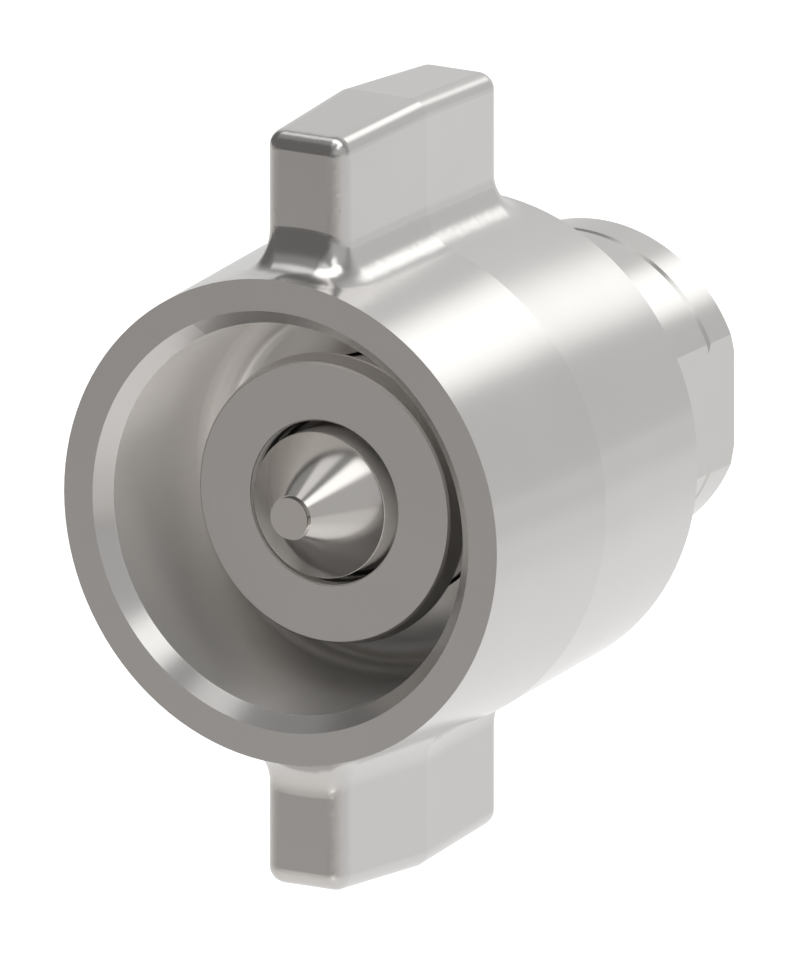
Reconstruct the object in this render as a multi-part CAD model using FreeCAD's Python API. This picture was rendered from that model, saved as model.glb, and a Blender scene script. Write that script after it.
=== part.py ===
import FreeCAD, Part
import math
import os

# Screw-to-connect dry break coupling half with a winged union nut and a poppet valve.
# Millimetres. The flow axis is Y: the rear port's mouth is at y = 0 and the coupling's
# open mouth points along -Y. The wings stand along +Z and -Z.

Vector = FreeCAD.Vector
ORIGIN = Vector(0, 0, 0)
AXIS = Vector(0, 1, 0)

# Clearances, and how far a cutting shape runs past what it cuts
screwed_clearance = 0.05
static_clearance = 0.05
running_clearance = 0.05
sliding_clearance = 0.3
nut_body_clearance = 0.4
wiper_clearance = 0.07
cut_overrun = 1.0

# Two lengths are taken as the same when they differ by less than this
same_length = 0.001

# Turned faces start and end on a line at this angle from +X towards +Z, clear of the wings
# and the spanner flats
seam_angle = 118.0

# Main body
body_diameter = 39.8
body_length = 39.3
body_front_wall = 4.85
body_rear_wall = 3.85
body_front_chamfer = 0.8
tube_stop_ledge = 2.25
flat_depth = 1.7
flats_length = 30.4
joint_groove_depth = 0.45

# End adapter and its female port
adapter_collar_length = 6.1
adapter_end_chamfer = 0.8
adapter_wall = 3.9
port_depth = 18.0
port_edge_break = 0.4
port_ledge = 1.6
adapter_seal_lip = 1.6

# Static seals: each O-ring shares its groove with one backup ring
seal_section = 2.2
seal_stretch = 0.15
backup_width = 0.9
groove_side_clearance = 0.1

# Nose tube
nose_projection = 21.5
nose_collar_width = 2.1
nose_edge_break = 0.25
nose_taper_length = 2.2
nose_taper_growth = 0.55
nose_collar_thickness = 3.25
nose_collar_back_radius = 0.3
neck_wall = 2.4
tube_engagement = 13.0
seat_width = 2.46
valve_hole_edge_break = 0.15
nose_lip = 1.6
seat_land = 1.0
tube_seal_floor_wall = 1.2

# Thrust washer behind the nose collar
thrust_washer_thickness = 1.0
thrust_washer_width = 2.25

# Winged union nut; the mating half's threaded sleeve goes in round the nose collar
sleeve_space = 6.3
nut_face_wall = 5.8
nut_front_length = 24.0
nut_rear_length = 24.2
draft_degrees = 3.0
nut_mouth_chamfer = 1.85
nut_cavity_depth = 25.4
nut_cavity_fillet = 3.6
nut_flange_thickness = 6.0
nut_rest_gap = 0.6
nut_rear_edge_break = 0.5
wing_rise = 17.75
wing_half_thickness = 6.4
wing_front_setback = 5.35
wing_rear_setback = 4.8
wing_edge_radius = 2.2
wing_root_radius = 5.3

# Wiper ring in the rear of the nut
wiper_section = 1.8
wiper_side_clearance = 0.2
wiper_setback = 2.2

# Poppet
poppet_travel = 8.0
tip_projection = 8.5
tip_radius = 2.55
tip_height = 0.54
tip_step = 0.2
rim_gap = 1.08
rim_projection = 1.22
rim_edge_radius = 0.4
seat_clearance = 0.3
seal_seat_clearance = 0.1
head_shoulder_width = 0.46
head_spigot_length = 2.0
seal_overlap = 0.8
retainer_overlap = 0.9
retainer_thickness = 2.0
stem_radius = 3.0
stem_screw_radius = 2.5
stem_screw_length = 6.0
stem_screw_end_gap = 0.3
stem_stop_radius = 4.5
stem_tail = 1.9
clip_thickness = 0.7
clip_radius = 5.2
clip_groove_depth = 0.5
clip_gap_degrees = 80.0

# Valve guide
guide_thickness = 5.0
guide_rim_width = 2.6
guide_arms = 3
guide_arm_width = 3.6
guide_hub_radius = 5.4
guide_hub_nose = 2.0
guide_hub_tail = 1.5
bush_radius = 4.2
spring_seat_thickness = 1.0
spring_seat_radius = 9.6

# Valve spring
spring_wire = 1.5
spring_mean_radius = 7.6
spring_turns = 6.5

# Radii, worked out inward from the body's outside and outward from the nose's neck
body_radius = body_diameter / 2
adapter_spigot_radius = body_radius - body_rear_wall - screwed_clearance
port_radius = adapter_spigot_radius - adapter_wall
throat_radius = port_radius - port_ledge
neck_radius = body_radius - body_front_wall - screwed_clearance
neck_socket_radius = neck_radius + screwed_clearance
body_bore_radius = neck_socket_radius - tube_stop_ledge
tube_bore_radius = neck_radius - neck_wall
valve_hole_radius = tube_bore_radius - seat_width
nose_face_radius = neck_radius + nose_collar_width
nose_side_radius = nose_face_radius + nose_edge_break
nose_collar_radius = nose_side_radius + nose_taper_growth
thrust_washer_inner = neck_radius + static_clearance
thrust_washer_radius = thrust_washer_inner + thrust_washer_width
nut_thread_radius = nose_collar_radius + sleeve_space
nut_face_radius = nut_thread_radius + nut_face_wall
nut_rear_bore_radius = body_radius + nut_body_clearance
nut_flange_hole_radius = neck_radius + sliding_clearance
draft_slope = math.tan(math.radians(draft_degrees))
nut_parting_radius = nut_face_radius + nut_front_length * draft_slope
wing_tip_height = nut_face_radius + wing_rise
wing_front_reach = nut_front_length - wing_front_setback
wing_rear_reach = nut_rear_length - wing_rear_setback
rim_radius = valve_hole_radius - rim_gap
head_spigot_radius = rim_radius - head_shoulder_width
seal_outer_radius = valve_hole_radius + seal_overlap
retainer_radius = valve_hole_radius + retainer_overlap

# Stations along the axis, worked out forward from the rear port's mouth
joint_y = -adapter_collar_length
body_front_y = joint_y - body_length
nose_face_y = body_front_y - nose_projection
collar_back_y = nose_face_y + nose_collar_thickness
tube_end_y = body_front_y + tube_engagement
socket_floor_y = tube_end_y + static_clearance
groove_width = seal_section + backup_width + groove_side_clearance
groove_depth = seal_section - seal_stretch

nut_flange_back_y = body_front_y - nut_rest_gap
nut_flange_front_y = nut_flange_back_y - nut_flange_thickness
nut_front_y = nut_flange_front_y - nut_cavity_depth
nut_parting_y = nut_front_y + nut_front_length
nut_rear_y = nut_parting_y + nut_rear_length

spigot_front_y = -(port_depth + adapter_seal_lip + groove_width)
guide_back_y = spigot_front_y - static_clearance
guide_front_y = guide_back_y - guide_thickness
guide_step_y = guide_front_y - static_clearance
hub_front_y = guide_front_y - guide_hub_nose
hub_back_y = guide_back_y + guide_hub_tail
spring_seat_front_y = guide_front_y - spring_seat_thickness

nose_groove_front_y = nose_face_y + nose_lip
nose_groove_back_y = nose_groove_front_y + groove_width
seat_front_y = nose_groove_back_y + seat_land
seat_back_y = seat_front_y + tube_bore_radius - valve_hole_radius

rim_front_y = nose_face_y - rim_projection
tip_y = nose_face_y - tip_projection
seal_front_y = seat_front_y
spigot_back_y = seal_front_y + head_spigot_length
retainer_back_y = spigot_back_y + retainer_thickness
stem_stop_y = hub_front_y - poppet_travel - sliding_clearance
stem_screw_front_y = spigot_back_y - stem_screw_length
clip_front_y = hub_back_y + sliding_clearance
clip_back_y = clip_front_y + clip_thickness
stem_back_y = clip_back_y + stem_tail


def turned(points):
    """Solid of revolution about Y of a closed outline of (radius, y) points."""
    corners = [Vector(radius, y, 0) for radius, y in points]
    outline = Part.makePolygon(corners + corners[:1])
    solid = Part.Face(outline).revolve(ORIGIN, AXIS, 360)
    solid.rotate(ORIGIN, AXIS, -seam_angle)
    return solid


def ring(inner, outer, front, back):
    """Plain ring between two radii and two stations."""
    return turned([(inner, front), (outer, front), (outer, back), (inner, back)])


def o_ring(inner, section, front):
    """Round-section ring whose bore has the radius inner and which starts at the station front."""
    half = section / 2
    return Part.makeTorus(inner + half, half, Vector(0, front + half, 0), AXIS)


def circles_at(shape, radius, y):
    """Round edges of a shape about the axis, by radius and station."""
    found = []
    for edge in shape.Edges:
        curve = edge.Curve
        if not isinstance(curve, Part.Circle):
            continue
        same_station = abs(curve.Center.y - y) < same_length
        if same_station and abs(curve.Radius - radius) < same_length:
            found.append(edge)
    return found


def on_both_sides(half):
    """A feature on the +Z side and its copy turned half a turn about the flow axis."""
    other = half.copy()
    other.rotate(ORIGIN, AXIS, 180)
    return half, other


def cut_flats(shape):
    """Mill the two parallel spanner flats along the rear of a round piece."""
    depth = flat_depth + cut_overrun
    half_across = body_radius - flat_depth
    for corner_x in (half_across, -half_across - depth):
        corner = Vector(corner_x, -flats_length, -body_radius)
        shape = shape.cut(Part.makeBox(depth, flats_length + cut_overrun, body_diameter, corner))
    return shape


def seal_pair(inner, outer, backup_inner, backup_outer, front):
    """O-ring squeezed between two radii, and the backup ring behind it in the same groove."""
    seal = o_ring(inner, outer - inner, front)
    backup_front = front + seal_section + static_clearance
    backup = ring(backup_inner, backup_outer, backup_front, backup_front + backup_width)
    return seal, backup


def make_valve_body():
    """Round body: the nose tube screws into its front, the adapter into its rear."""
    socket_groove_back = socket_floor_y - tube_seal_floor_wall
    socket_groove_front = socket_groove_back - groove_width
    groove_radius = neck_socket_radius + groove_depth
    spigot_socket = adapter_spigot_radius + screwed_clearance
    outline = [
        (neck_socket_radius, body_front_y),
        (body_radius - body_front_chamfer, body_front_y),
        (body_radius, body_front_y + body_front_chamfer),
        (body_radius, joint_y - joint_groove_depth),
        (body_radius - joint_groove_depth, joint_y),
        (spigot_socket, joint_y),
        (spigot_socket, guide_step_y),
        (body_bore_radius, guide_step_y),
        (body_bore_radius, socket_floor_y),
        (neck_socket_radius, socket_floor_y),
        (neck_socket_radius, socket_groove_back),
        (groove_radius, socket_groove_back),
        (groove_radius, socket_groove_front),
        (neck_socket_radius, socket_groove_front),
    ]
    return cut_flats(turned(outline))


def make_tube_seals():
    """Seal between the nose tube and the body, in the body's inner groove."""
    front = socket_floor_y - tube_seal_floor_wall - groove_width + static_clearance
    inner = neck_radius + static_clearance
    outer = neck_socket_radius + groove_depth - static_clearance
    return seal_pair(inner, outer, neck_socket_radius, outer, front)


def make_end_adapter():
    """Rear adapter: collar with the body's outline, screwed spigot, female port and throat."""
    groove_back = -port_depth
    groove_front = groove_back - groove_width
    groove_floor = adapter_spigot_radius - groove_depth
    outline = [
        (throat_radius, spigot_front_y),
        (adapter_spigot_radius, spigot_front_y),
        (adapter_spigot_radius, groove_front),
        (groove_floor, groove_front),
        (groove_floor, groove_back),
        (adapter_spigot_radius, groove_back),
        (adapter_spigot_radius, joint_y),
        (body_radius - joint_groove_depth, joint_y),
        (body_radius, joint_y + joint_groove_depth),
        (body_radius, -adapter_end_chamfer),
        (body_radius - adapter_end_chamfer, 0),
        (port_radius + port_edge_break, 0),
        (port_radius, -port_edge_break),
        (port_radius, -port_depth),
        (throat_radius, -port_depth),
    ]
    return cut_flats(turned(outline))


def make_adapter_seals():
    """Seal between the adapter's spigot and the body, in the spigot's outer groove."""
    front = -port_depth - groove_width + static_clearance
    inner = adapter_spigot_radius - groove_depth + static_clearance
    outer = adapter_spigot_radius + screwed_clearance - static_clearance
    return seal_pair(inner, outer, inner, outer, front)


def make_nose_tube():
    """Nose collar, neck and valve seat in one tube that screws into the body."""
    taper_back = nose_face_y + nose_edge_break + nose_taper_length
    groove_radius = valve_hole_radius + groove_depth
    outline = [
        (valve_hole_radius + valve_hole_edge_break, nose_face_y),
        (nose_face_radius, nose_face_y),
        (nose_side_radius, nose_face_y + nose_edge_break),
        (nose_collar_radius, taper_back),
        (nose_collar_radius, collar_back_y),
        (neck_radius, collar_back_y),
        (neck_radius, tube_end_y),
        (tube_bore_radius, tube_end_y),
        (tube_bore_radius, seat_back_y),
        (valve_hole_radius, seat_front_y),
        (valve_hole_radius, nose_groove_back_y),
        (groove_radius, nose_groove_back_y),
        (groove_radius, nose_groove_front_y),
        (valve_hole_radius, nose_groove_front_y),
        (valve_hole_radius, nose_face_y + valve_hole_edge_break),
    ]
    tube = turned(outline)
    back_edge = circles_at(tube, nose_collar_radius, collar_back_y)
    return tube.makeFillet(nose_collar_back_radius, back_edge)


def make_nose_seals():
    """Seal for the mating half's probe, in the groove just inside the valve hole."""
    front = nose_groove_front_y + static_clearance
    inner = valve_hole_radius - seal_stretch
    outer = valve_hole_radius + groove_depth - static_clearance
    return seal_pair(inner, outer, valve_hole_radius + static_clearance, outer, front)


def make_thrust_washer():
    """Washer that the nut's flange pulls against, on the neck behind the nose collar."""
    front = collar_back_y + static_clearance
    back = front + thrust_washer_thickness
    return ring(thrust_washer_inner, thrust_washer_radius, front, back)


def wing_section(y, half_thickness, tip):
    """Cross-section of a wing at one station: straight sides, rounded tip corners, foot in the nut."""
    foot = nut_rear_bore_radius + cut_overrun
    radius = wing_edge_radius
    bend = radius * math.sqrt(0.5)
    centre_x = half_thickness - radius
    centre_z = tip - radius
    lines = []
    arcs = []
    for side in (1, -1):
        side_end = Vector(side * half_thickness, y, centre_z)
        top_end = Vector(side * centre_x, y, tip)
        middle = Vector(side * (centre_x + bend), y, centre_z + bend)
        lines.append(Part.LineSegment(Vector(side * half_thickness, y, foot), side_end))
        arcs.append(Part.Arc(side_end, middle, top_end))
    top = Part.LineSegment(Vector(centre_x, y, tip), Vector(-centre_x, y, tip))
    bottom = Part.LineSegment(Vector(-half_thickness, y, foot), Vector(half_thickness, y, foot))
    order = [lines[0], arcs[0], top, arcs[1], lines[1], bottom]
    return Part.Wire(Part.__sortEdges__([piece.toShape() for piece in order]))


def wing_half(reach):
    """Half of a wing, from the parting plane at y = 0 forward, drafted and rounded at its end."""
    shrink = reach * draft_slope
    middle = wing_section(0, wing_half_thickness, wing_tip_height)
    end = wing_section(-reach, wing_half_thickness - shrink, wing_tip_height - shrink)
    half = Part.makeLoft([end, middle], True, True)
    rim = []
    for edge in half.Edges:
        box = edge.BoundBox
        at_end = box.YMax < -reach + same_length
        if at_end and box.ZMax > nut_parting_radius:
            rim.append(edge)
    return half.makeFillet(wing_edge_radius, rim)


def forging_half(length, reach):
    """Front half of the forged blank, parting plane at y = 0: drafted barrel, wings, root fillets.

    The barrel is made longer by the root fillet, so that the fillet has room, and then faced off.
    """
    made_length = length + wing_root_radius
    end_radius = nut_parting_radius - made_length * draft_slope
    blank = turned([(0, -made_length), (end_radius, -made_length), (nut_parting_radius, 0), (0, 0)])
    for wing in on_both_sides(wing_half(reach)):
        blank = blank.fuse(wing)
    roots = []
    for edge in blank.Edges:
        first, last = edge.ParameterRange
        middle = edge.valueAt((first + last) / 2)
        surface_radius = nut_parting_radius + middle.y * draft_slope
        on_barrel = abs(math.hypot(middle.x, middle.z) - surface_radius) < same_length
        between_ends = -made_length + same_length < middle.y < -same_length
        if on_barrel and between_ends and abs(middle.x) < wing_half_thickness + same_length:
            roots.append(edge)
    blank = blank.makeFillet(wing_root_radius, roots)
    facing = Part.makeCylinder(
        wing_tip_height, made_length, Vector(0, -length - made_length, 0), AXIS
    )
    return blank.cut(facing)


def make_wing_nut():
    """Forged union nut: two drafted halves joined at the parting plane, then bored."""
    front = forging_half(nut_front_length, wing_front_reach)
    rear = forging_half(nut_rear_length, wing_rear_reach).mirror(ORIGIN, AXIS)
    nut = front.fuse(rear)
    nut.translate(Vector(0, nut_parting_y, 0))
    chamfer_radius = nut_thread_radius + nut_mouth_chamfer
    groove_back = nut_rear_y - wiper_setback
    groove_front = groove_back - wiper_section - 2 * wiper_side_clearance
    groove_radius = body_radius + wiper_section + 2 * wiper_clearance
    bore = turned([
        (0, nut_front_y - cut_overrun),
        (chamfer_radius + cut_overrun, nut_front_y - cut_overrun),
        (chamfer_radius, nut_front_y),
        (nut_thread_radius, nut_front_y + nut_mouth_chamfer),
        (nut_thread_radius, nut_flange_front_y),
        (0, nut_flange_front_y),
    ])
    floor_corner = circles_at(bore, nut_thread_radius, nut_flange_front_y)
    bore = bore.makeFillet(nut_cavity_fillet, floor_corner)
    rear_bore = turned([
        (0, nut_flange_front_y),
        (nut_flange_hole_radius, nut_flange_front_y),
        (nut_flange_hole_radius, nut_flange_back_y),
        (nut_rear_bore_radius, nut_flange_back_y),
        (nut_rear_bore_radius, groove_front),
        (groove_radius, groove_front),
        (groove_radius, groove_back),
        (nut_rear_bore_radius, groove_back),
        (nut_rear_bore_radius, nut_rear_y - nut_rear_edge_break),
        (nut_rear_bore_radius + nut_rear_edge_break, nut_rear_y),
        (nut_rear_bore_radius + nut_rear_edge_break, nut_rear_y + cut_overrun),
        (0, nut_rear_y + cut_overrun),
    ])
    return nut.cut(bore).cut(rear_bore)


def make_nut_wiper():
    """Ring in the nut's rear groove that rubs on the body and keeps dirt out."""
    front = nut_rear_y - wiper_setback - wiper_section - wiper_side_clearance
    return o_ring(body_radius + wiper_clearance, wiper_section, front)


def seat_line(y, clearance):
    """Radius of a cone parallel to the 45 degree seat, inside it by the clearance."""
    return valve_hole_radius + (y - seat_front_y) - clearance * math.sqrt(2)


def make_poppet_head():
    """Valve head: flat tip, open cone, rim, and the spigot that carries its seal."""
    shoulder_radius = seat_line(seal_front_y, seat_clearance)
    cone_back = seal_front_y - (shoulder_radius - rim_radius)
    screw_hole = stem_screw_radius + screwed_clearance
    outline = [
        (0, tip_y),
        (tip_radius, tip_y),
        (tip_radius, tip_y + tip_height),
        (tip_radius + tip_step, tip_y + tip_height),
        (rim_radius, rim_front_y),
        (rim_radius, cone_back),
        (shoulder_radius, seal_front_y),
        (head_spigot_radius, seal_front_y),
        (head_spigot_radius, spigot_back_y),
        (screw_hole, spigot_back_y),
        (screw_hole, stem_screw_front_y - stem_screw_end_gap),
        (0, stem_screw_front_y - stem_screw_end_gap),
    ]
    head = turned(outline)
    return head.makeFillet(rim_edge_radius, circles_at(head, rim_radius, rim_front_y))


def make_poppet_seal():
    """Moulded seal with a 45 degree face that closes on the seat."""
    front = seal_front_y + static_clearance
    back = spigot_back_y - static_clearance
    inner = head_spigot_radius + static_clearance
    face_front = seat_line(front, seal_seat_clearance)
    face_back = front + seal_outer_radius - face_front
    return turned([
        (inner, front),
        (face_front, front),
        (seal_outer_radius, face_back),
        (seal_outer_radius, back),
        (inner, back),
    ])


def make_seal_retainer():
    """Disc that clamps the seal on the head and takes the spring."""
    bore = stem_radius + static_clearance
    return ring(bore, retainer_radius, spigot_back_y, retainer_back_y)


def make_poppet_stem():
    """Stem: screwed into the head, clamps the retainer, and its thick part stops at the hub."""
    screw_back = spigot_back_y + static_clearance
    groove_radius = stem_radius - clip_groove_depth
    return turned([
        (0, stem_screw_front_y),
        (stem_screw_radius, stem_screw_front_y),
        (stem_screw_radius, screw_back),
        (stem_radius, screw_back),
        (stem_radius, retainer_back_y),
        (stem_stop_radius, retainer_back_y),
        (stem_stop_radius, stem_stop_y),
        (stem_radius, stem_stop_y),
        (stem_radius, clip_front_y),
        (groove_radius, clip_front_y),
        (groove_radius, clip_back_y),
        (stem_radius, clip_back_y),
        (stem_radius, stem_back_y),
        (0, stem_back_y),
    ])


def make_stem_clip():
    """Open clip in the stem's groove, behind the guide's hub."""
    inner = stem_radius - clip_groove_depth + static_clearance
    front = clip_front_y + static_clearance
    back = clip_back_y - static_clearance
    clip = ring(inner, clip_radius, front, back)
    gap = Part.makeCylinder(
        clip_radius + cut_overrun, clip_thickness, Vector(0, front, 0), AXIS, clip_gap_degrees
    )
    return clip.cut(gap)


def make_valve_guide():
    """Spider clamped between the body's step and the adapter: rim, arms and hub."""
    outer = adapter_spigot_radius
    rim_inner = outer - guide_rim_width
    hub_bore = bush_radius + static_clearance
    guide = ring(rim_inner, outer, guide_front_y, guide_back_y)
    hub = ring(hub_bore, guide_hub_radius, hub_front_y, hub_back_y)
    guide = guide.fuse(hub)
    arm_inner = (hub_bore + guide_hub_radius) / 2
    arm_outer = rim_inner + guide_rim_width / 2
    for index in range(guide_arms):
        corner = Vector(arm_inner, guide_front_y, -guide_arm_width / 2)
        arm = Part.makeBox(arm_outer - arm_inner, guide_thickness, guide_arm_width, corner)
        arm.rotate(ORIGIN, AXIS, 90 + 360 * index / guide_arms)
        guide = guide.fuse(arm)
    return guide.removeSplitter()


def make_guide_bush():
    """Plain bearing for the stem, pressed into the hub."""
    return ring(stem_radius + running_clearance, bush_radius, hub_front_y, hub_back_y)


def make_spring_seat():
    """Hard washer round the hub's nose that takes the spring off the guide's arms."""
    return ring(
        guide_hub_radius + static_clearance,
        spring_seat_radius,
        spring_seat_front_y,
        guide_front_y,
    )


def make_valve_spring():
    """Compression spring between the retainer and the spring seat, its ends ground flat."""
    front = retainer_back_y
    length = spring_seat_front_y - front
    pitch = length / spring_turns
    run = length + spring_wire
    helix = Part.makeHelix(pitch, run, spring_mean_radius)
    section = Part.Wire(Part.makeCircle(spring_wire / 2, Vector(spring_mean_radius, 0, 0), AXIS))
    coil = Part.Wire(helix.Edges).makePipeShell([section], True, True)
    coil.translate(Vector(0, 0, -spring_wire / 2))
    envelope = Part.makeCylinder(spring_mean_radius + spring_wire, length)
    coil = coil.common(envelope)
    coil.rotate(ORIGIN, Vector(1, 0, 0), -90)
    coil.translate(Vector(0, front, 0))
    return coil


def make_parts():
    """Every piece by its name."""
    tube_o_ring, tube_backup_ring = make_tube_seals()
    adapter_o_ring, adapter_backup_ring = make_adapter_seals()
    nose_seal, nose_backup_ring = make_nose_seals()
    return {
        "valve_body": make_valve_body(),
        "tube_o_ring": tube_o_ring,
        "tube_backup_ring": tube_backup_ring,
        "end_adapter": make_end_adapter(),
        "adapter_o_ring": adapter_o_ring,
        "adapter_backup_ring": adapter_backup_ring,
        "nose_tube": make_nose_tube(),
        "nose_seal": nose_seal,
        "nose_backup_ring": nose_backup_ring,
        "thrust_washer": make_thrust_washer(),
        "wing_nut": make_wing_nut(),
        "nut_wiper": make_nut_wiper(),
        "poppet_head": make_poppet_head(),
        "poppet_seal": make_poppet_seal(),
        "seal_retainer": make_seal_retainer(),
        "poppet_stem": make_poppet_stem(),
        "stem_clip": make_stem_clip(),
        "valve_guide": make_valve_guide(),
        "guide_bush": make_guide_bush(),
        "spring_seat": make_spring_seat(),
        "valve_spring": make_valve_spring(),
    }


os.makedirs("parts", exist_ok=True)
for name, shape in make_parts().items():
    shape.exportStep("parts/" + name + ".step")
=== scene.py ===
"""Looks of the dry break coupling half: finishes, fine surfaces, port thread, spring and studio.

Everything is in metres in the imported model's frame: the flow axis is Y, the coupling's open mouth
points along -Y, the rear port's mouth is at y = 0, and the nut's wings stand along +Z and -Z.
"""
import math

import bpy
import numpy as np
from bpy.props import FloatProperty, FloatVectorProperty, IntProperty, PointerProperty
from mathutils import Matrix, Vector


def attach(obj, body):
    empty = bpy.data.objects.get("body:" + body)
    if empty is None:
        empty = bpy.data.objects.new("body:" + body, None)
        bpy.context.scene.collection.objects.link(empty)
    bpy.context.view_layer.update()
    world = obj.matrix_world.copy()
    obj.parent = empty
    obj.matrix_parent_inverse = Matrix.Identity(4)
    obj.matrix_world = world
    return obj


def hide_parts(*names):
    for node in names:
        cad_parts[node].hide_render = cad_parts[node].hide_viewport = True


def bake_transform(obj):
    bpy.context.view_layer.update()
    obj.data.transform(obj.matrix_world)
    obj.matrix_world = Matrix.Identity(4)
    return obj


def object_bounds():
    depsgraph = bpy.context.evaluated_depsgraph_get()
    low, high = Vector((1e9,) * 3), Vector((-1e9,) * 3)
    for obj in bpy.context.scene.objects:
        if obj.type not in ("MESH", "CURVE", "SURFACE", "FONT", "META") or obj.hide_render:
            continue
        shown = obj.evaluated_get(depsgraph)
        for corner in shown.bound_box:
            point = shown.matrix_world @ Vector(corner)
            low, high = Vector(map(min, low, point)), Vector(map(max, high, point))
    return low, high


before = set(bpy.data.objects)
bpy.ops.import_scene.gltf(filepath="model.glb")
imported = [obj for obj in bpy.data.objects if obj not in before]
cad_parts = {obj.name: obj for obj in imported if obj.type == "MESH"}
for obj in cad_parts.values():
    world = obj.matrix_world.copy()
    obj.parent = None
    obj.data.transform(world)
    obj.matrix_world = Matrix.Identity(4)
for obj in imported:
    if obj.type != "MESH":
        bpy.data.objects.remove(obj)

bl_info = {
    "name": "Dry break coupling",
    "version": (1, 0, 0),
    "blender": (4, 5, 0),
    "location": "View3D > Sidebar > Coupling",
    "description": "Finishes, fine surfaces and studio for a dry break coupling half",
    "category": "Object",
}

CAD_BOX = [[float(value) for value in corner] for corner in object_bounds()]

# The nodes that share each finish
FINISHED_NODES = {
    "forged_steel": ["wing_nut"],
    "turned_steel": [
        "valve_body", "end_adapter", "nose_tube", "poppet_stem", "seal_retainer",
        "valve_guide", "spring_seat", "stem_clip",
    ],
    "fine_turned_steel": ["poppet_head"],
    "spring_wire": ["valve_spring"],
    "seal_rubber": ["tube_o_ring", "adapter_o_ring", "nose_seal", "nut_wiper", "poppet_seal"],
    "backup_plastic": ["tube_backup_ring", "adapter_backup_ring", "nose_backup_ring"],
    "bearing_bronze": ["thrust_washer", "guide_bush"],
}

# The grain of each steel: the scale of its noise and its depth in metres. All steel has broad
# clouds too, its colour and gloss vary by these factors, and the valve head's is polished to this
# share of the others' roughness.
STEEL_GRAIN = {
    "forged_steel": (900.0, 0.00001),
    "turned_steel": (1500.0, 0.000004),
    "fine_turned_steel": (2500.0, 0.000002),
    "spring_wire": (3000.0, 0.000004),
}
CLOUD_SCALE = 60.0
COLOUR_RANGE = (0.97, 1.03)
GLOSS_RANGE = (0.92, 1.08)
POLISH = 0.6
WIRE_COLOUR = (0.42, 0.42, 0.42)

# How strongly any bump shows
BUMP_STRENGTH = 0.3

# Walls duller than the rest of their piece: the nut's bore, the valve hole, and the side of the
# valve head's rim. Each has a ramp of stations at its front and at its rear, and a ramp of
# distances from the flow axis, from where it is plain to where it is dull, in metres.
DULL_WALLS = {
    "forged_steel": ((-0.0756, -0.0755), (-0.0515, -0.0518), (0.0245, 0.0243)),
    "turned_steel": ((-0.0668, -0.0667), (-0.0600, -0.0610), (0.0104, 0.0103)),
    "fine_turned_steel": ((-0.0682, -0.0681), (-0.0610, -0.0612), (0.00895, 0.00903)),
}
DULL_METALLIC = 0.38

# Fine surfaces: the angle in degrees past which an edge stays crisp, how far the extra points lie
# from the ends of a straight run, in metres and at most as a share of it, the points of a rounded
# edge, and for the adapter the extra rows' share of a run, the least height of its chamfers and
# the least cosine that the flat's distance is divided by
CREASE_DEGREES = {"valve_head": 20.0, "threaded_adapter": 25.0, "coil_spring": 40.0}
RUN_INSET = 0.00003
RUN_INSET_SHARE = 0.25
EDGE_POINTS = 9
ROW_INSET_SHARE = 0.002
SLIVER = 0.000004
LEAST_COSINE = 1e-6

# The thread's flanks rise this steeply and are cut off this much at crest and root
FLANK_RISE = 1.5
FLANK_CUT = 0.25

# The spring's section has two arcs, away from the axis and towards it, and each reaches this far
# to both sides of its middle
ARC_DEGREES = 60.0


class CouplingStage(bpy.types.PropertyGroup):
    """Camera, room light and floor."""

    azimuth: FloatProperty(
        name="Azimuth", description="Camera's turn from straight in front of the mouth",
        default=math.radians(30.0), subtype="ANGLE")
    elevation: FloatProperty(
        name="Elevation", description="Camera's height above the flow axis",
        default=math.radians(15.0), subtype="ANGLE")
    target: FloatVectorProperty(
        name="Target", description="Point at the middle of the picture",
        default=(0.0, -0.048707, -0.001071), subtype="XYZ")
    view_height: FloatProperty(
        name="View height", description="Height of what the camera sees",
        default=0.114614, unit="LENGTH")
    bore_light: FloatProperty(
        name="Bore light", description="Power of the soft light that reaches into the bore",
        default=23.0, subtype="POWER")
    floor_size: FloatProperty(
        name="Floor", description="Side of the square floor", default=20.0, unit="LENGTH")
    floor_drop: FloatProperty(
        name="Floor drop", description="How far below the coupling the floor lies",
        default=0.5, unit="LENGTH")
    floor_colour: FloatVectorProperty(
        name="Floor colour", description="Colour of the pale floor",
        default=(0.155, 0.155, 0.155), subtype="COLOR")


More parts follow.
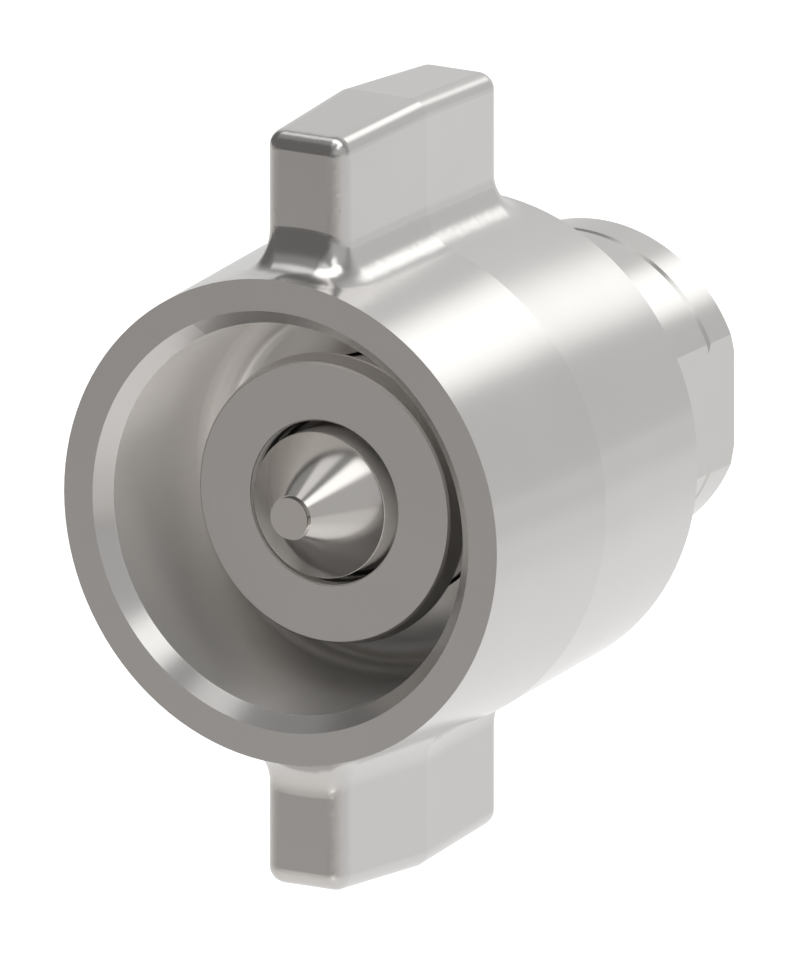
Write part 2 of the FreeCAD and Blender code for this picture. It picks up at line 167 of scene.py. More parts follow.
class PoppetHead(bpy.types.PropertyGroup):
    """The valve head's turned shape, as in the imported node."""

    tip_station: FloatProperty(
        name="Tip", description="Where the flat tip lies along the flow axis",
        default=-0.0754, unit="LENGTH")
    tip_radius: FloatProperty(
        name="Tip radius", description="Radius of the flat tip", default=0.00255, unit="LENGTH")
    tip_height: FloatProperty(
        name="Tip height", description="Height of the step below the tip",
        default=0.00054, unit="LENGTH")
    tip_step: FloatProperty(
        name="Tip step", description="Width of the step below the tip",
        default=0.0002, unit="LENGTH")
    rim_station: FloatProperty(
        name="Rim", description="Where the cone meets the rim along the flow axis",
        default=-0.06812, unit="LENGTH")
    rim_radius: FloatProperty(
        name="Rim radius", description="Radius of the rim", default=0.00906, unit="LENGTH")
    rim_edge: FloatProperty(
        name="Rim edge", description="Rounding between cone and rim", default=0.0004, unit="LENGTH")
    shoulder_radius: FloatProperty(
        name="Shoulder radius", description="Radius of the shoulder in front of the seal",
        default=0.009716, unit="LENGTH")
    shoulder_station: FloatProperty(
        name="Shoulder", description="Where the shoulder ends along the flow axis",
        default=-0.0611, unit="LENGTH")
    spigot_radius: FloatProperty(
        name="Spigot radius", description="Radius of the spigot that carries the seal",
        default=0.0086, unit="LENGTH")
    spigot_station: FloatProperty(
        name="Spigot end", description="Where the spigot ends along the flow axis",
        default=-0.0591, unit="LENGTH")
    hole_radius: FloatProperty(
        name="Stem hole radius", description="Radius of the hole for the stem",
        default=0.00255, unit="LENGTH")
    hole_station: FloatProperty(
        name="Stem hole end", description="Bottom of the hole for the stem",
        default=-0.0654, unit="LENGTH")
    steps: IntProperty(
        name="Steps", description="Steps round the axis", default=360, min=24)


class PortThread(bpy.types.PropertyGroup):
    """The rear adapter with its female pipe thread."""

    crest_radius: FloatProperty(
        name="Crest radius", description="Radius of the thread's crests, the port's bore",
        default=0.0121, unit="LENGTH")
    thread_depth: FloatProperty(
        name="Thread depth", description="How deep the thread is cut into the wall",
        default=0.00116, unit="LENGTH")
    pitch: FloatProperty(
        name="Pitch", description="Distance between two crests", default=0.001814, unit="LENGTH")
    thread_start: FloatProperty(
        name="Thread start",
        description="Distance of the thread's first groove from the port's mouth",
        default=0.0008, unit="LENGTH")
    thread_end: FloatProperty(
        name="Thread end", description="Distance of the thread's last groove from the port's mouth",
        default=0.0160, unit="LENGTH")
    port_depth: FloatProperty(
        name="Port depth", description="Depth of the port", default=0.018, unit="LENGTH")
    mouth_break: FloatProperty(
        name="Mouth edge", description="Chamfer of the port's mouth", default=0.0004, unit="LENGTH")
    throat_radius: FloatProperty(
        name="Throat radius", description="Radius of the bore beyond the port",
        default=0.0105, unit="LENGTH")
    collar_radius: FloatProperty(
        name="Collar radius", description="Outside radius of the adapter",
        default=0.0199, unit="LENGTH")
    end_chamfer: FloatProperty(
        name="End chamfer", description="Chamfer of the rear end", default=0.0008, unit="LENGTH")
    joint_chamfer: FloatProperty(
        name="Joint chamfer", description="Chamfer where the adapter meets the body",
        default=0.00045, unit="LENGTH")
    collar_length: FloatProperty(
        name="Collar length", description="Length of the adapter's collar",
        default=0.0061, unit="LENGTH")
    flat_distance: FloatProperty(
        name="Flat distance", description="Distance of the spanner flats from the axis",
        default=0.0182, unit="LENGTH")
    spigot_radius: FloatProperty(
        name="Spigot radius", description="Radius of the spigot inside the body",
        default=0.016, unit="LENGTH")
    spigot_length: FloatProperty(
        name="Spigot end", description="Distance of the spigot's end from the port's mouth",
        default=0.0228, unit="LENGTH")
    groove_radius: FloatProperty(
        name="Groove radius", description="Radius of the seal groove's floor",
        default=0.01395, unit="LENGTH")
    groove_width: FloatProperty(
        name="Groove width", description="Width of the seal groove", default=0.0032, unit="LENGTH")
    steps: IntProperty(
        name="Steps", description="Steps round the axis in each quarter", default=72, min=12)
    rows_per_pitch: IntProperty(
        name="Rows per pitch", description="Rows of the mesh along one pitch", default=12, min=6)


class CoilSpring(bpy.types.PropertyGroup):
    """The valve spring at its length with the valve closed."""

    front_station: FloatProperty(
        name="Front end", description="Where the spring bears on the poppet, along the flow axis",
        default=-0.0571, unit="LENGTH")
    rear_station: FloatProperty(
        name="Rear end", description="Where the spring bears on its seat, along the flow axis",
        default=-0.02885, unit="LENGTH")
    mean_radius: FloatProperty(
        name="Mean radius", description="Radius of the helix", default=0.0076, unit="LENGTH")
    wire_radius: FloatProperty(
        name="Wire radius", description="Radius of the wire", default=0.00075, unit="LENGTH")
    turns: FloatProperty(
        name="Turns", description="Turns of the helix over the spring's length", default=6.5)
    ground_share: FloatProperty(
        name="Ground share",
        description="Share of the wire's radius left off at each ground end's tip",
        default=0.8, min=0.0, max=0.86)
    rows: IntProperty(
        name="Rows", description="Rows of the mesh along the wire", default=520, min=60)
    steps: IntProperty(
        name="Steps", description="Steps round the wire in each quarter", default=6, min=3)


class CouplingFinishes(bpy.types.PropertyGroup):
    """Base colours and gloss of the materials."""

    forged_colour: FloatVectorProperty(
        name="Forged steel", description="Colour of the nut",
        default=(0.578, 0.567, 0.555), subtype="COLOR")
    turned_colour: FloatVectorProperty(
        name="Turned steel", description="Colour of the body and nose",
        default=(0.575, 0.563, 0.55), subtype="COLOR")
    poppet_colour: FloatVectorProperty(
        name="Poppet steel", description="Colour of the valve head",
        default=(0.6, 0.58, 0.56), subtype="COLOR")
    steel_roughness: FloatProperty(
        name="Roughness", description="Roughness of the steel pieces",
        default=0.2, min=0.0, max=1.0, subtype="FACTOR")


def new_material(name, metallic=0.0):
    """An empty node material with its output and a Principled shader."""
    material = bpy.data.materials.new(name)
    material.use_nodes = True
    tree = material.node_tree
    tree.nodes.clear()
    output = tree.nodes.new("ShaderNodeOutputMaterial")
    shader = tree.nodes.new("ShaderNodeBsdfPrincipled")
    shader.inputs["Metallic"].default_value = metallic
    tree.links.new(shader.outputs["BSDF"], output.inputs["Surface"])
    return material, tree, shader


def noise(tree, scale, detail):
    """Noise on the object's own coordinates, in metres."""
    coordinates = tree.nodes.new("ShaderNodeTexCoord")
    texture = tree.nodes.new("ShaderNodeTexNoise")
    texture.inputs["Scale"].default_value = scale
    texture.inputs["Detail"].default_value = detail
    tree.links.new(coordinates.outputs["Object"], texture.inputs["Vector"])
    return texture.outputs["Fac"]


def spread(tree, value, low, high):
    """The value, which runs from 0 to 1, spread between two others."""
    node = tree.nodes.new("ShaderNodeMapRange")
    node.inputs["To Min"].default_value = low
    node.inputs["To Max"].default_value = high
    tree.links.new(value, node.inputs["Value"])
    return node.outputs["Result"]


def ramp(tree, value, start, end):
    """0 before the start, 1 past the end, and a smooth rise between; either way round."""
    node = tree.nodes.new("ShaderNodeMapRange")
    node.interpolation_type = "SMOOTHSTEP"
    node.inputs["From Min"].default_value = start
    node.inputs["From Max"].default_value = end
    tree.links.new(value, node.inputs["Value"])
    return node.outputs["Result"]


def tint(tree, value, dark, light):
    """Colour that goes from dark to light with the value."""
    node = tree.nodes.new("ShaderNodeMix")
    node.data_type = "RGBA"
    # A mix of colours has them at inputs 6 and 7 and its result at output 2
    node.inputs[6].default_value = (*dark, 1.0)
    node.inputs[7].default_value = (*light, 1.0)
    tree.links.new(value, node.inputs["Factor"])
    return node.outputs[2]


def layered(tree, below, level, share):
    """A level laid by its share over the one below, which is a number or a socket."""
    node = tree.nodes.new("ShaderNodeMix")
    node.data_type = "FLOAT"
    # A mix of numbers has them at inputs 2 and 3 and its result at output 0
    node.inputs[3].default_value = level
    if isinstance(below, float):
        node.inputs[2].default_value = below
    else:
        tree.links.new(below, node.inputs[2])
    tree.links.new(share, node.inputs["Factor"])
    return node.outputs[0]


def combined(tree, operation, parts):
    """All the parts added together or multiplied."""
    result = parts[0]
    for part in parts[1:]:
        node = tree.nodes.new("ShaderNodeMath")
        node.operation = operation
        tree.links.new(result, node.inputs[0])
        tree.links.new(part, node.inputs[1])
        result = node.outputs[0]
    return result


def measured(tree, vector, operation, other=(0.0, 0.0, 0.0)):
    """A vector's length, its distance from a point or its dot product with a direction."""
    node = tree.nodes.new("ShaderNodeVectorMath")
    node.operation = operation
    node.inputs[1].default_value = other
    tree.links.new(vector, node.inputs[0])
    return node.outputs["Value"]


def bump(tree, shader, height, depth):
    """Relief of a height between 0 and 1, of that depth in metres."""
    node = tree.nodes.new("ShaderNodeBump")
    node.inputs["Distance"].default_value = depth
    node.inputs["Strength"].default_value = BUMP_STRENGTH
    tree.links.new(height, node.inputs["Height"])
    tree.links.new(node.outputs["Normal"], shader.inputs["Normal"])


def along_and_across(tree):
    """Station along the flow axis and distance from it, from the object's own coordinates."""
    coordinates = tree.nodes.new("ShaderNodeTexCoord")
    parts = tree.nodes.new("ShaderNodeSeparateXYZ")
    flat = tree.nodes.new("ShaderNodeCombineXYZ")
    tree.links.new(coordinates.outputs["Object"], parts.inputs["Vector"])
    tree.links.new(parts.outputs["X"], flat.inputs["X"])
    tree.links.new(parts.outputs["Z"], flat.inputs["Z"])
    return parts.outputs["Y"], measured(tree, flat.outputs["Vector"], "LENGTH")


def dulled(tree, shader, front, rear, radius):
    """Make a wall less metallic than the rest, where all three of its ramps are up."""
    along, across = along_and_across(tree)
    ramps = [ramp(tree, along, *front), ramp(tree, along, *rear), ramp(tree, across, *radius)]
    metallic = layered(tree, 1.0, DULL_METALLIC, combined(tree, "MULTIPLY", ramps))
    tree.links.new(metallic, shader.inputs["Metallic"])


def steel(name, colour, roughness):
    """Steel whose colour, gloss and surface vary a little, as a machined or forged face does."""
    material, tree, shader = new_material(name, metallic=1.0)
    dark, light = (tuple(share * channel for channel in colour) for share in COLOUR_RANGE)
    clouds = noise(tree, scale=CLOUD_SCALE, detail=2.0)
    tree.links.new(tint(tree, clouds, dark, light), shader.inputs["Base Color"])
    grain_scale, grain_depth = STEEL_GRAIN[name]
    grain = noise(tree, scale=grain_scale, detail=3.0)
    gloss = spread(tree, grain, *(share * roughness for share in GLOSS_RANGE))
    tree.links.new(gloss, shader.inputs["Roughness"])
    bump(tree, shader, grain, grain_depth)
    if name in DULL_WALLS:
        dulled(tree, shader, *DULL_WALLS[name])
    return material


def rubber(name):
    """Black moulded rubber with a faint bloom."""
    material, tree, shader = new_material(name)
    black, grey = (0.012, 0.012, 0.012), (0.03, 0.03, 0.03)
    bloom = noise(tree, scale=400.0, detail=3.0)
    tree.links.new(tint(tree, bloom, black, grey), shader.inputs["Base Color"])
    tree.links.new(spread(tree, bloom, low=0.45, high=0.65), shader.inputs["Roughness"])
    bump(tree, shader, noise(tree, scale=3000.0, detail=2.0), depth=0.00001)
    return material


def plastic(name):
    """Waxy white plastic."""
    material, tree, shader = new_material(name)
    cream, white = (0.78, 0.76, 0.7), (0.86, 0.85, 0.81)
    clouds = noise(tree, scale=200.0, detail=2.0)
    tree.links.new(tint(tree, clouds, cream, white), shader.inputs["Base Color"])
    tree.links.new(spread(tree, clouds, low=0.4, high=0.55), shader.inputs["Roughness"])
    return material


def bronze(name):
    """Bearing bronze, a little darker in its pores."""
    material, tree, shader = new_material(name, metallic=1.0)
    dark, light = (0.42, 0.35, 0.26), (0.6, 0.51, 0.39)
    pores = noise(tree, scale=1500.0, detail=3.0)
    tree.links.new(tint(tree, pores, dark, light), shader.inputs["Base Color"])
    tree.links.new(spread(tree, pores, low=0.35, high=0.5), shader.inputs["Roughness"])
    bump(tree, shader, pores, depth=0.00001)
    return material


def mesh_object(name, points, faces):
    """Smooth object of points and faces whose edges sharper than its crease angle stay crisp."""
    mesh = bpy.data.meshes.new(name)
    mesh.from_pydata(points.tolist(), [], faces)
    mesh.polygons.foreach_set("use_smooth", np.ones(len(mesh.polygons), dtype=bool))
    mesh.set_sharp_from_angle(angle=math.radians(CREASE_DEGREES[name]))
    mesh.validate()
    piece = bpy.data.objects.new(name, mesh)
    bpy.context.collection.objects.link(piece)
    return piece


def dense(outline):
    """Outline with two more points close to the ends of each straight run, which keep it flat."""
    start = np.asarray(outline[:-1], dtype=float)
    run = np.asarray(outline[1:], dtype=float) - start
    length = np.linalg.norm(run, axis=1, keepdims=True)
    share = np.minimum(RUN_INSET / length, RUN_INSET_SHARE)
    rows = np.stack([start, start + share * run, start + (1.0 - share) * run], axis=1)
    return np.vstack([rows.reshape(-1, 2), np.asarray(outline[-1:], dtype=float)])


def rounded(before, corner, after, radius):
    """Points of an arc of that radius which rounds the corner between two straight runs."""
    before, corner, after = (np.asarray(point, dtype=float) for point in (before, corner, after))
    back = (before - corner) / np.linalg.norm(before - corner)
    ahead = (after - corner) / np.linalg.norm(after - corner)
    half = 0.5 * math.acos(float(back @ ahead))
    middle = (back + ahead) / np.linalg.norm(back + ahead)
    centre = corner + middle * radius / math.sin(half)
    first = (corner + back * radius / math.tan(half) - centre) / radius
    last = (corner + ahead * radius / math.tan(half) - centre) / radius
    angle = math.acos(float(np.clip(first @ last, -1.0, 1.0)))
    share = np.linspace(0.0, 1.0, EDGE_POINTS)[:, None]
    arm = np.sin((1 - share) * angle) * first + np.sin(share * angle) * last
    return centre + radius * arm / math.sin(angle)


def loop_faces(rows, steps):
    """Quads between rows of points round the axis; the last row joins the first."""
    row, step = np.meshgrid(np.arange(rows), np.arange(steps), indexing="ij")
    next_row = (row + 1) % rows
    next_step = (step + 1) % steps
    corners = np.stack([
        row * steps + step, next_row * steps + step,
        next_row * steps + next_step, row * steps + next_step], axis=-1)
    return corners.reshape(-1, 4)


def turned_head(values):
    """Valve head: every point of its outline (radius r, station y) goes round the flow axis.

    At the angle a a point lies at (r cos a, y, r sin a). The outline starts and ends on the axis.
    """
    cone_start = (values.tip_radius + values.tip_step, values.tip_station + values.tip_height)
    rim = (values.rim_radius, values.rim_station)
    cone_back = values.shoulder_station - (values.shoulder_radius - values.rim_radius)
    rim_end = (values.rim_radius, cone_back)
    edge = rounded(cone_start, rim, rim_end, values.rim_edge)
    front = dense([
        (0.0, values.tip_station), (values.tip_radius, values.tip_station),
        (values.tip_radius, values.tip_station + values.tip_height), cone_start, tuple(edge[0])])
    back = dense([
        tuple(edge[-1]), rim_end, (values.shoulder_radius, values.shoulder_station),
        (values.spigot_radius, values.shoulder_station),
        (values.spigot_radius, values.spigot_station),
        (values.hole_radius, values.spigot_station), (values.hole_radius, values.hole_station),
        (0.0, values.hole_station)])
    outline = np.vstack([front, edge[1:-1], back])
    steps = values.steps
    angle = np.linspace(0.0, 2.0 * math.pi, steps, endpoint=False)
    rings = outline[1:-1]
    count = len(rings)
    round_points = np.stack([
        rings[:, :1] * np.cos(angle), np.repeat(rings[:, 1:], steps, axis=1),
        rings[:, :1] * np.sin(angle)], axis=-1).reshape(-1, 3)
    ends = np.array([(0.0, outline[0, 1], 0.0), (0.0, outline[-1, 1], 0.0)])
    points = np.vstack([round_points, ends])
    quads = loop_faces(count, steps)[: (count - 1) * steps]
    step = np.arange(steps)
    following = (step + 1) % steps
    last = (count - 1) * steps
    first_fan = np.stack([np.full(steps, count * steps), step, following], axis=-1)
    last_fan = np.stack([last + step, np.full(steps, count * steps + 1), last + following], axis=-1)
    faces = quads.tolist() + first_fan.tolist() + last_fan.tolist()
    return mesh_object("valve_head", points, faces)


def threaded_adapter(values):
    """Rear adapter: an outline of (radius, station) rows goes round the flow axis.

    At the angle a a row lies at (r cos a, y, r sin a). Outside, r is the smaller of the turned
    radius and the flat's distance over |cos a|. In the port, r is the crest radius plus the
    thread's depth times a wave of (distance from the mouth + pitch times a / 360 degrees), which
    fades at both ends.
    """
    collar, flat = values.collar_radius, values.flat_distance
    chamfer_foot, joint_foot = collar - values.end_chamfer, collar - values.joint_chamfer
    marks = [math.acos(flat / radius) for radius in (chamfer_foot, joint_foot, collar)]
    even = np.linspace(0.0, 0.5 * math.pi, values.steps + 1)
    quarter = np.unique(np.concatenate([even, marks]))
    half = np.concatenate([quarter, math.pi - quarter[-2::-1]])[:-1]
    angle = np.concatenate([half, half + math.pi])
    cut = flat / np.maximum(np.abs(np.cos(angle)), LEAST_COSINE)
    level = np.ones_like(angle)
    outside = np.minimum(collar, cut)
    end_drop = np.clip(outside - chamfer_foot, 0.0, None) + SLIVER
    joint_drop = np.clip(outside - joint_foot, 0.0, None) + SLIVER
    groove_back = values.port_depth
    groove_front = values.port_depth + values.groove_width
    crest, mouth = values.crest_radius, values.crest_radius + values.mouth_break
    spigot, floor = values.spigot_radius, values.groove_radius
    rows = [
        (mouth * level, 0.0 * level),
        (np.minimum(chamfer_foot, cut), 0.0 * level),
        (outside, end_drop),
        (outside, values.collar_length - joint_drop),
        (np.minimum(joint_foot, cut), values.collar_length * level),
        (spigot * level, values.collar_length * level),
        (spigot * level, groove_back * level),
        (floor * level, groove_back * level),
        (floor * level, groove_front * level),
        (spigot * level, groove_front * level),
        (spigot * level, values.spigot_length * level),
        (values.throat_radius * level, values.spigot_length * level),
        (values.throat_radius * level, values.port_depth * level),
        (crest * level, values.port_depth * level),
    ]
    outline = np.array(rows)
    run = outline[1:] - outline[:-1]
    dense_rows = np.stack([
        outline[:-1], outline[:-1] + ROW_INSET_SHARE * run,
        outline[:-1] + (1.0 - ROW_INSET_SHARE) * run], axis=1)
    outline = np.concatenate([dense_rows.reshape(-1, *outline.shape[1:]), outline[-1:]])
    pitches = (values.port_depth - values.mouth_break) / values.pitch
    count = int(round(pitches * values.rows_per_pitch))
    along = np.linspace(values.port_depth, values.mouth_break, count)[1:, None] * level
    turn = (along + values.pitch * angle / (2.0 * math.pi)) / values.pitch
    wave = np.clip(FLANK_RISE * np.abs(2.0 * (turn % 1.0) - 1.0) - FLANK_CUT, 0.0, 1.0)
    start = np.clip((along - values.thread_start) / values.pitch + 0.5, 0.0, 1.0)
    end = np.clip((values.thread_end - along) / values.pitch + 0.5, 0.0, 1.0)
    thread = np.stack([crest + values.thread_depth * wave * start * end, along], axis=1)
    outline = np.concatenate([outline, thread])
    radius, depth = outline[:, 0], outline[:, 1]
    points = np.stack([radius * np.cos(angle), -depth, radius * np.sin(angle)], axis=-1)
    faces = loop_faces(len(outline), len(angle))[:, ::-1]
    return mesh_object("threaded_adapter", points.reshape(-1, 3), faces.tolist())


def coil_spring(values):
    """Spring: the section of a round wire goes along a helix, and both ends are ground flat.

    At the turn t the section's middle lies at (R cos t, station + pitch t / 360 degrees, -R sin t).
    Each section is a circle in the plane through the flow axis; where the plane of a ground end
    cuts it, the chord takes the place of the arc beyond.
    """
    wire, front, rear = values.wire_radius, values.front_station, values.rear_station
    pitch = (rear - front) / values.turns
    overrun = values.ground_share * wire
    middle = np.linspace(front - overrun, rear + overrun, values.rows)[:, None]
    turn = 2.0 * math.pi * (middle - front + wire) / pitch
    reach = math.sin(math.radians(ARC_DEGREES))
    low, high = (front - middle) / wire, (rear - middle) / wire
    start = np.arcsin(np.clip(low, -reach, values.ground_share))
    stop = np.arcsin(np.clip(high, -values.ground_share, reach))
    share = np.linspace(0.0, 1.0, values.steps, endpoint=False)
    sweep = (stop - start) * share
    upper = np.cos(stop) * (1.0 - 2.0 * share)
    lower = np.cos(start) * (2.0 * share - 1.0)
    outward = np.hstack([np.cos(start + sweep), upper, -np.cos(stop - sweep), lower])
    along = np.hstack([
        np.sin(start + sweep), np.minimum(high, np.sqrt(1.0 - upper ** 2)),
        np.sin(stop - sweep), np.maximum(low, -np.sqrt(1.0 - lower ** 2))])
    radius = values.mean_radius + wire * outward
    points = np.stack([
        radius * np.cos(turn), middle + wire * along, -radius * np.sin(turn)], axis=-1)
    steps = outward.shape[1]
    sides = loop_faces(values.rows, steps)[: (values.rows - 1) * steps]
    first = list(range(steps))
    last = [(values.rows - 1) * steps + step for step in reversed(first)]
    return mesh_object("coil_spring", points.reshape(-1, 3), sides.tolist() + [first, last])


def paint_nodes(material, nodes):
    """Put one material on every slot of these CAD nodes."""
    for name in nodes:
        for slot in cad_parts[name].material_slots:
            slot.material = material


class COUPLING_OT_finishes(bpy.types.Operator):
    """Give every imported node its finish."""

    bl_idname = "coupling.finishes"
    bl_label = "Finishes"

    def execute(self, context):
        values = context.scene.coupling_finishes
        rough = values.steel_roughness
        made = {
            "forged_steel": steel("forged_steel", values.forged_colour, rough),
            "turned_steel": steel("turned_steel", values.turned_colour, rough),
            "fine_turned_steel": steel("fine_turned_steel", values.poppet_colour, POLISH * rough),
            "spring_wire": steel("spring_wire", WIRE_COLOUR, rough),
            "seal_rubber": rubber("seal_rubber"),
            "backup_plastic": plastic("backup_plastic"),
            "bearing_bronze": bronze("bearing_bronze"),
        }
        for name, nodes in FINISHED_NODES.items():
            paint_nodes(made[name], nodes)
        return {"FINISHED"}


class COUPLING_OT_valve_head(bpy.types.Operator):
    """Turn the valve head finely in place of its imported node."""

    bl_idname = "coupling.valve_head"
    bl_label = "Valve head"

    def execute(self, context):
        piece = turned_head(context.scene.coupling_poppet)
        piece.data.materials.append(bpy.data.materials["fine_turned_steel"])
        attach(piece, "poppet")
        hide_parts("poppet_head")
        return {"FINISHED"}


class COUPLING_OT_port_thread(bpy.types.Operator):
    """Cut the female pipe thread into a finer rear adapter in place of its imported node."""

    bl_idname = "coupling.port_thread"
    bl_label = "Port thread"

    def execute(self, context):
        piece = threaded_adapter(context.scene.coupling_port)
        piece.data.materials.append(bpy.data.materials["turned_steel"])
        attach(piece, "body")
        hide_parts("end_adapter")
        return {"FINISHED"}


class COUPLING_OT_valve_spring(bpy.types.Operator):
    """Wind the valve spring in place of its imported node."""

    bl_idname = "coupling.valve_spring"
    bl_label = "Valve spring"

    def execute(self, context):
        values = context.scene.coupling_spring
        piece = coil_spring(values)
        piece.data.materials.append(bpy.data.materials["spring_wire"])
        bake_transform(piece)
        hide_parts("valve_spring")
        return {"FINISHED"}


# The room: its plain brightness and tint, and each patch's direction, the angle in degrees where it
# is full, the angle where it has faded out, and its brightness
ROOM_LEVEL = 0.36
ROOM_COLOUR = (1.0, 1.0, 0.995)
ROOM_PATCHES = [
    ((0.85, -0.50, 0.10), 28.0, 55.0, 0.60),
    ((0.0, 1.0, 0.0), 40.0, 75.0, 0.78),
    ((-0.45, 0.86, 0.20), 24.0, 46.0, 0.88),
    ((-0.48, 0.84, 0.26), 6.0, 22.0, 0.80),
    ((-0.95, 0.05, 0.24), 20.0, 38.0, 0.19),
    ((-0.50, -0.82, 0.26), 24.0, 42.0, 0.19),
    ((-0.45, 0.10, 0.90), 5.0, 14.0, 1.15),
    ((0.0, -0.40, 0.92), 5.0, 14.0, 0.95),
    ((0.55, -0.49, 0.72), 5.0, 14.5, 1.75),
    ((0.22, 0.81, 0.545), 4.0, 16.0, 2.0),
    ((0.47, -0.11, 0.875), 12.5, 16.5, 2.2),
    ((0.20, -0.05, 0.98), 12.5, 16.5, 2.2),
    ((-0.05, -0.04, 1.00), 12.5, 16.5, 2.2),
]

# Each pool of light on the floor: its centre, how far out it is full, where it has faded out, and
# how much brightness it adds
FLOOR_POOLS = [
    ((-0.10, 1.30), 1.45, 2.60, 0.14),
    ((0.15, 0.75), 0.35, 0.95, 0.08),
    ((-1.00, 1.75), 0.55, 1.10, 0.28),
    ((9.00, -4.50), 2.00, 7.50, -0.08),
    ((4.50, 8.50), 2.00, 7.50, 0.10),
]

# The floor's own glow goes from low to high along this direction between two distances from the
# middle, in metres, and its warm tint fades out between two others
FLOOR_DIRECTION = (0.35, 0.94, 0.0)
GLOW_RUN = (-4.5, 0.2)
GLOW_RANGE = (0.03, 0.69)
WARM_RUN = (-1.2, 0.6)
WARM_TINT = (1.0, 0.955, 0.92)
WHITE = (1.0, 1.0, 1.0)
FLOOR_ROUGHNESS = 0.9

# The bore light: the direction in which it stands from the coupling, how far, its width and tint
BORE_LIGHT_DIRECTION = (0.21, -0.91, -0.34)
BORE_LIGHT_DISTANCE = 1.2
BORE_LIGHT_WIDTH = 0.5
BORE_LIGHT_COLOUR = (1.0, 0.96, 0.92)

# What the camera sees lies between these distances from it, in metres
CAMERA_CLIP = (0.01, 30.0)


def build_room(scene):
    """A soft room as the world: its brightness goes by direction, patch over patch."""
    world = bpy.data.worlds.new("soft_room")
    scene.world = world
    world.use_nodes = True
    tree = world.node_tree
    tree.nodes.clear()
    output = tree.nodes.new("ShaderNodeOutputWorld")
    background = tree.nodes.new("ShaderNodeBackground")
    coordinates = tree.nodes.new("ShaderNodeTexCoord")
    level = ROOM_LEVEL
    for direction, full, faded, brightness in ROOM_PATCHES:
        towards = Vector(direction).normalized()
        facing = measured(tree, coordinates.outputs["Generated"], "DOT_PRODUCT", towards)
        share = ramp(tree, facing, math.cos(math.radians(faded)), math.cos(math.radians(full)))
        level = layered(tree, level, brightness, share)
    tree.links.new(level, background.inputs["Strength"])
    background.inputs["Color"].default_value = (*ROOM_COLOUR, 1.0)
    tree.links.new(background.outputs["Background"], output.inputs["Surface"])


def build_floor(size, colour, height):
    """Plain pale floor that glows: brightest behind the coupling, darker and warmer in front."""
    half = size / 2.0
    mesh = bpy.data.meshes.new("floor")
    corners = [
        (-half, -half, height), (half, -half, height), (half, half, height), (-half, half, height)]
    mesh.from_pydata(corners, [], [(0, 1, 2, 3)])
    floor = bpy.data.objects.new("floor", mesh)
    bpy.context.collection.objects.link(floor)
    material, tree, shader = new_material("pale_floor")
    shader.inputs["Base Color"].default_value = (*colour, 1.0)
    shader.inputs["Roughness"].default_value = FLOOR_ROUGHNESS
    shader.inputs["Specular IOR Level"].default_value = 0.0
    place = tree.nodes.new("ShaderNodeTexCoord").outputs["Object"]
    slope = measured(tree, place, "DOT_PRODUCT", FLOOR_DIRECTION)
    warmth = ramp(tree, slope, *WARM_RUN)
    tree.links.new(tint(tree, warmth, WARM_TINT, WHITE), shader.inputs["Emission Color"])
    glows = [spread(tree, ramp(tree, slope, *GLOW_RUN), *GLOW_RANGE)]
    for centre, full, faded, extra in FLOOR_POOLS:
        distance = measured(tree, place, "DISTANCE", (*centre, height))
        glows.append(spread(tree, ramp(tree, distance, faded, full), 0.0, extra))
    tree.links.new(combined(tree, "ADD", glows), shader.inputs["Emission Strength"])
    mesh.materials.append(material)


def build_bore_light(values):
    """Soft light from below in front that reaches into the bore and shows in no reflection."""
    data = bpy.data.lights.new("bore_light", "AREA")
    data.shape = "DISK"
    data.size = BORE_LIGHT_WIDTH
    data.energy = values.bore_light
    data.color = BORE_LIGHT_COLOUR
    light = bpy.data.objects.new("bore_light", data)
    bpy.context.collection.objects.link(light)
    towards = Vector(BORE_LIGHT_DIRECTION).normalized()
    light.location = Vector(values.target) + towards * BORE_LIGHT_DISTANCE
    light.rotation_euler = towards.to_track_quat("Z", "Y").to_euler()
    light.visible_glossy = False
    light.visible_camera = False


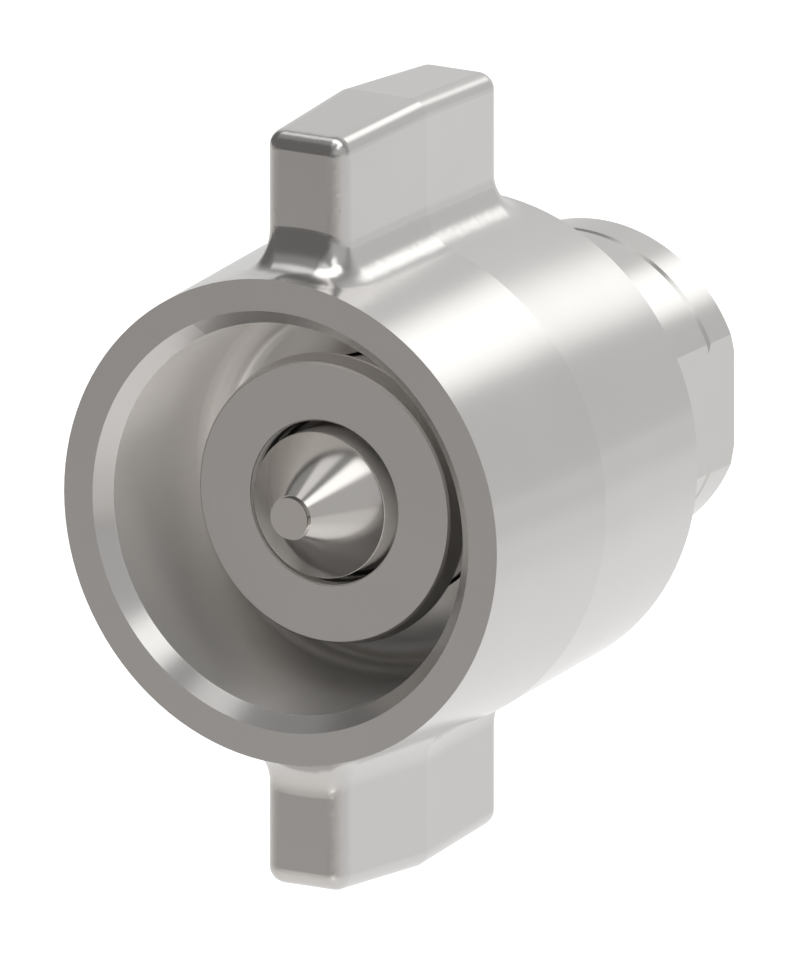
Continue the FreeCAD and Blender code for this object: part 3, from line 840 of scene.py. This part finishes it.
def build_camera(scene, values):
    """Parallel camera at the photograph's angle, a metre from its target."""
    data = bpy.data.cameras.new("camera")
    data.type = "ORTHO"
    data.sensor_fit = "VERTICAL"
    data.ortho_scale = values.view_height
    data.clip_start, data.clip_end = CAMERA_CLIP
    camera = bpy.data.objects.new("camera", data)
    bpy.context.collection.objects.link(camera)
    across = math.cos(values.elevation)
    away = Vector((
        math.sin(values.azimuth) * across, -math.cos(values.azimuth) * across,
        math.sin(values.elevation)))
    camera.location = Vector(values.target) + away
    camera.rotation_euler = away.to_track_quat("Z", "Y").to_euler()
    scene.camera = camera


class COUPLING_OT_stage(bpy.types.Operator):
    """Build the room light, the pale floor and the camera."""

    bl_idname = "coupling.stage"
    bl_label = "Stage"

    def execute(self, context):
        scene = context.scene
        values = scene.coupling_stage
        build_room(scene)
        build_floor(values.floor_size, values.floor_colour, CAD_BOX[0][2] - values.floor_drop)
        build_bore_light(values)
        build_camera(scene, values)
        scene.view_settings.view_transform = "Standard"
        scene.view_settings.look = "None"
        return {"FINISHED"}


class COUPLING_PT_panel(bpy.types.Panel):
    """Panel that lists the coupling's steps."""

    bl_idname = "COUPLING_PT_panel"
    bl_label = "Dry break coupling"
    bl_space_type = "VIEW_3D"
    bl_region_type = "UI"
    bl_category = "Coupling"

    def draw(self, context):
        for step in STEPS:
            self.layout.operator(step.bl_idname)
        for group in GROUPS:
            values = getattr(context.scene, group)
            for name in values.__annotations__:
                self.layout.prop(values, name)


GROUPS = {
    "coupling_finishes": CouplingFinishes,
    "coupling_poppet": PoppetHead,
    "coupling_port": PortThread,
    "coupling_spring": CoilSpring,
    "coupling_stage": CouplingStage,
}
STEPS = (
    COUPLING_OT_finishes, COUPLING_OT_valve_head, COUPLING_OT_port_thread,
    COUPLING_OT_valve_spring, COUPLING_OT_stage,
)
CLASSES = (*GROUPS.values(), *STEPS, COUPLING_PT_panel)


def register():
    for item in CLASSES:
        bpy.utils.register_class(item)
    for name, group in GROUPS.items():
        setattr(bpy.types.Scene, name, PointerProperty(type=group))


def unregister():
    for name in GROUPS:
        delattr(bpy.types.Scene, name)
    for item in reversed(CLASSES):
        bpy.utils.unregister_class(item)


def main():
    register()
    bpy.ops.coupling.finishes()
    bpy.ops.coupling.valve_head()
    bpy.ops.coupling.port_thread()
    bpy.ops.coupling.valve_spring()
    bpy.ops.coupling.stage()


if __name__ == "__main__":
    main()
